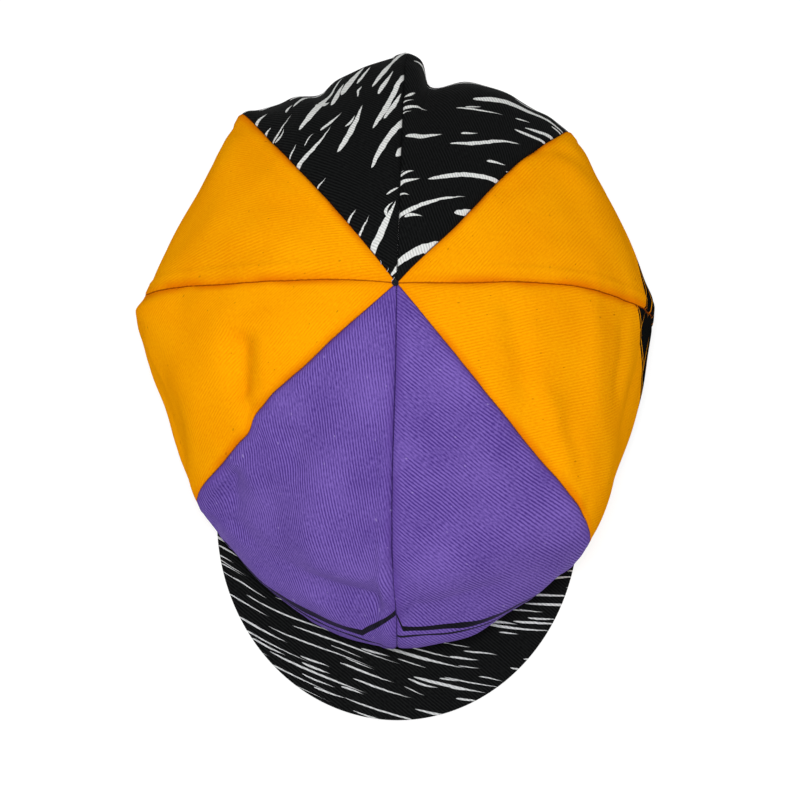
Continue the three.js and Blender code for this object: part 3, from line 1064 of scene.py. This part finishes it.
def drawn_in(face):
    """One face of a gore, with its seam edges drawn in to leave the gap between two gores."""
    inward = face[:, -1] - face[:, 0]
    inward /= np.linalg.norm(inward, axis=-1, keepdims=True)
    face[:, 0] += inward * SEAM_GAP / 2
    face[:, -1] -= inward * SEAM_GAP / 2
    return face.reshape(-1, 3)


def make_gore(cloth, outer, inner, index, material):
    name = PANELS[index]
    columns = (index * STEPS_ACROSS + np.arange(STEPS_ACROSS + 1)) % (SEAM_COUNT * STEPS_ACROSS)
    points = np.concatenate([drawn_in(face[:, columns]) for face in (outer, inner)])
    faces = sheet_faces(len(outer), STEPS_ACROSS + 1)
    widths, lengths = cloth.widths[:, index], cloth.lengths[:, index]
    place, edge = cloth.place()[:, columns], cloth.edge()[:, columns]
    place[:, -1] = np.stack([widths / 2, lengths], -1)
    place, edge = (np.concatenate([pairs.reshape(-1, 2)] * 2) for pairs in (place, edge))
    piece = new_piece(f"gore_{name}", points, faces, material, Cloth=place, Edge=edge)

    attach(piece, "root")
    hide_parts(f"crown_panel_{name}")


def make_crown(materials):
    cloth = Cloth()
    outer, inner = crown_faces(cloth)
    for index, name in enumerate(PANELS):
        make_gore(cloth, outer, inner, index, materials[name])


def band_section():
    """Out and up from the band's outer face and its foot, round its rounded edges."""
    half = BAND_WALL / 2
    bend = np.radians(np.linspace(0, 180, BAND_EDGE_STEPS))
    over = np.stack([half * np.cos(bend), BAND_HEIGHT - half + half * np.sin(bend)], -1)
    under = np.stack([-half * np.cos(bend), half - half * np.sin(bend)], -1)
    return np.concatenate([over, under]) - (half, 0)


def make_band(materials):
    """The sweat band: a cloth ring with rounded lower and upper edges."""
    turn = np.arange(BAND_STEPS) * 360 / BAND_STEPS
    section = band_section()
    count = len(section)
    points = np.stack([on_band(turn, out) + UP * up for out, up in section]).reshape(-1, 3)
    grid = np.arange(count * BAND_STEPS).reshape(count, BAND_STEPS)
    right, below = np.roll(grid, -1, axis=1), np.roll(grid, -1, axis=0)
    corner = np.roll(below, -1, axis=1)
    faces = np.stack([grid, right, corner, below], -1).reshape(-1, 4)
    middle = on_band(turn, -BAND_WALL / 2)
    length = np.linalg.norm(np.roll(middle, -1, axis=0) - middle, axis=-1).sum()
    around = turn / 360 * length
    place = np.stack([np.tile(around, count), np.repeat(section[:, 1], BAND_STEPS)], -1)
    piece = new_piece("sweat_band", points, faces, materials["band"], Cloth=place)
    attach(piece, "root")
    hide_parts("head_band")


def peak_edge(turn, widest):
    """The peak's free edge in plan: two half ellipses that meet where it is widest."""
    angle = np.radians(turn * PEAK_EDGE_TURN / PEAK_END_TURN)
    length = np.where(np.cos(angle) > 0, PEAK_ROUND, PEAK_END_ROUND)
    x = BAND_MIDDLE[0] + PEAK_SIDE_SHIFT + PEAK_WIDTH / 2 * np.sin(angle)
    return np.stack([x, widest - length * np.cos(angle), np.zeros_like(x)], -1)


def make_peak(materials):
    """The peak, with its cloth turned round a thin stiffener and a rounded edge."""
    turn = np.linspace(-PEAK_END_TURN, PEAK_END_TURN, PEAK_STEPS_ACROSS + 1)
    sewn = on_band(turn, SEWN_CLEARANCE)
    front = on_band(np.array([0.0]), SEWN_CLEARANCE)[0, 1]
    widest = front - PEAK_DEPTH + PEAK_ROUND
    edge = peak_edge(turn, widest)
    share = 1 - (1 - np.linspace(0, 1, PEAK_STEPS_OUT + 1)) ** PEAK_CROWDING
    plan = lerp(sewn[:, None], edge[:, None], share[None, :, None])
    lift = PEAK_LIFT * lift_share(turn)[:, None] * (1 - PEAK_DROOP * share)
    from_edge = np.linalg.norm(edge - sewn, axis=-1)[:, None] * (1 - share)
    half = PEAK_WALL / 2
    inset = np.clip(1 - from_edge / half, 0, 1)
    thick = half * np.sqrt(np.maximum(1 - inset**2, PEAK_LEAST_WALL))
    top, bottom = plan.copy(), plan.copy()
    top[..., 2] = lift + half + thick
    bottom[..., 2] = lift + half - thick
    points = np.concatenate([bottom.reshape(-1, 3), top.reshape(-1, 3)])
    faces = sheet_faces(PEAK_STEPS_ACROSS + 1, PEAK_STEPS_OUT + 1)
    place = (plan[..., :2] - (BAND_MIDDLE[0], widest)).reshape(-1, 2)
    place = np.concatenate([place, place])
    piece = new_piece("peak_cloth", points, faces, materials["peak"], Cloth=place)
    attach(piece, "root")
    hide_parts("peak")


TACK_SHIFT = np.array((-0.6 * MM, 0.2 * MM, 0))
TACK_TURNS = np.linspace(20, 160, 7)

# A row for each loose end: its root from the tack in millimetres, its bearing and its length
LOOSE_ENDS = (
    (-6.2, 8.6, 70, 1.6),
    (-3.6, 5.2, 40, 1.5),
    (-1.6, 0.9, 30, 1.9),
)

THREAD_SIDES = 8
OFF_ALL_THREADS = (0.31, 0.17, 0.93)


def thread(path, radius):
    """Points and faces of a round thread along a path, with closed ends."""
    tangent = np.gradient(path, axis=0)
    tangent /= np.linalg.norm(tangent, axis=1, keepdims=True)
    side = np.cross(tangent, OFF_ALL_THREADS)
    side /= np.linalg.norm(side, axis=1, keepdims=True)
    other = np.cross(tangent, side)
    angle = (np.arange(THREAD_SIDES) * 2 * np.pi / THREAD_SIDES)[:, None]
    ring = side[:, None] * np.cos(angle) + other[:, None] * np.sin(angle)
    points = (path[:, None] + radius * ring).reshape(-1, 3)
    grid = np.arange(len(path) * THREAD_SIDES).reshape(-1, THREAD_SIDES)
    beside = np.roll(grid, -1, axis=1)
    faces = np.stack([grid[:-1], grid[1:], beside[1:], beside[:-1]], -1).reshape(-1, 4).tolist()
    return points, faces + [grid[0].tolist(), grid[-1, ::-1].tolist()]


def level_pair(angle):
    """Level directions along a bearing from +X, and to its left."""
    away = np.array((math.cos(angle), math.sin(angle), 0))
    return away, np.array((-away[1], away[0], 0))


def tack_wrap(tip, turn, random):
    """The path of one wrap of thread over the tip."""
    rise, sunk = 1.2, 0.9
    away, across = level_pair(math.radians(turn + random.uniform(-12, 12)))
    reach = random.uniform(1.0, 1.7) * MM
    bend = random.uniform(-1.2, 1.2) * MM
    t = np.linspace(-1, 1, 17)[:, None]
    hump = UP * (rise * np.sqrt(1.001 - t**2) - sunk) * MM
    return tip + away * t * reach + across * (1 - t**2) * bend + hump


def loose_end(tip, x, y, bearing, length):
    """The path of one cut end of thread that bends to its left."""
    rise, sunk = 0.25, 0.35
    away, across = level_pair(math.radians(bearing))
    t = np.linspace(0, 1, 9)[:, None]
    lift = UP * (rise * np.sin(3.1 * t) - sunk) * MM
    return tip + np.array((x, y, 0)) * MM + (away * t + across * t**2 / 2) * length * MM + lift


def make_threads(name, paths, radius, material):
    points, faces = [], []
    for path in paths:
        start = sum(len(group) for group in points)
        own, own_faces = thread(path, radius)
        points.append(own)
        faces += [[start + i for i in face] for face in own_faces]
    points = np.concatenate(points)
    piece = new_piece(name, points, faces, material, Cloth=points[:, :2])
    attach(piece, "root")


def make_tack(materials):
    """The sewn tack that closes the tip: a few wraps of black thread, and the seams' loose ends."""
    tip = CROWN_AXIS * LEVEL + UP * CROWN_HEIGHT + TACK_SHIFT
    random = np.random.default_rng(11)
    wraps = [tack_wrap(tip, turn, random) for turn in TACK_TURNS]
    make_threads("tack_thread", wraps, 0.42 * MM, materials["thread"])
    ends = [loose_end(tip, *row) for row in LOOSE_ENDS]
    pale = materials["loose_thread"]
    make_threads("loose_threads", ends, 0.16 * MM, pale)


def make_camera():
    data = bpy.data.cameras.new("camera")
    data.lens = LENS
    data.sensor_width = SENSOR
    camera = bpy.data.objects.new("camera", data)
    bpy.context.scene.collection.objects.link(camera)
    angle = math.radians(VIEW_ELEVATION)
    toward = Vector((0, math.cos(angle), -math.sin(angle)))
    camera.location = VIEW_TARGET - toward * VIEW_DISTANCE
    camera.rotation_euler = toward.to_track_quat("-Z", "Y").to_euler()
    bpy.context.scene.camera = camera


def make_light(name, place, size, power):
    data = bpy.data.lights.new(name, "AREA")
    data.shape = "DISK"
    data.size = size
    data.energy = power
    light = bpy.data.objects.new(name, data)
    light.location = place
    aim = Vector(LIT_PLACE) - Vector(place)
    light.rotation_euler = aim.to_track_quat("-Z", "Y").to_euler()
    bpy.context.scene.collection.objects.link(light)


def make_floor():
    """A wide sheet of white paper that glows a little, so that it stays white round the cap."""
    n = Nodes(bpy.data.materials.new("floor_paper"))
    n.shader.inputs["Base Color"].default_value = (0.3, 0.3, 0.3, 1)
    n.shader.inputs["Roughness"].default_value = 0.9
    n.shader.inputs["Emission Color"].default_value = (1, 1, 1, 1)
    n.shader.inputs["Emission Strength"].default_value = 0.76
    corners = np.array([(-1, -1, 0), (1, -1, 0), (1, 1, 0), (-1, 1, 0)]) * FLOOR_REACH
    floor = new_piece("floor", corners, np.array([(0, 1, 2, 3)]), n.owner)


def make_sky():
    """White light from all round, brightest at the horizon."""
    sky = Nodes(bpy.data.worlds.new("studio"), "Background")
    sky.shader.inputs["Color"].default_value = (1, 1, 1, 1)
    _, _, up = sky.parts(sky.add("ShaderNodeTexCoord").outputs["Generated"])
    strength = sky.ramp(up, 0.0, 0.2, to_low=0.76, to_high=0.15)
    sky.put(sky.shader.inputs["Strength"], strength)
    bpy.context.scene.world = sky.owner


materials = make_materials()
make_band(materials)
make_crown(materials)
make_peak(materials)
make_tack(materials)
make_camera()
make_floor()
make_sky()
for light in LIGHTS:
    make_light(*light)
bpy.context.scene.view_settings.view_transform = "Standard"
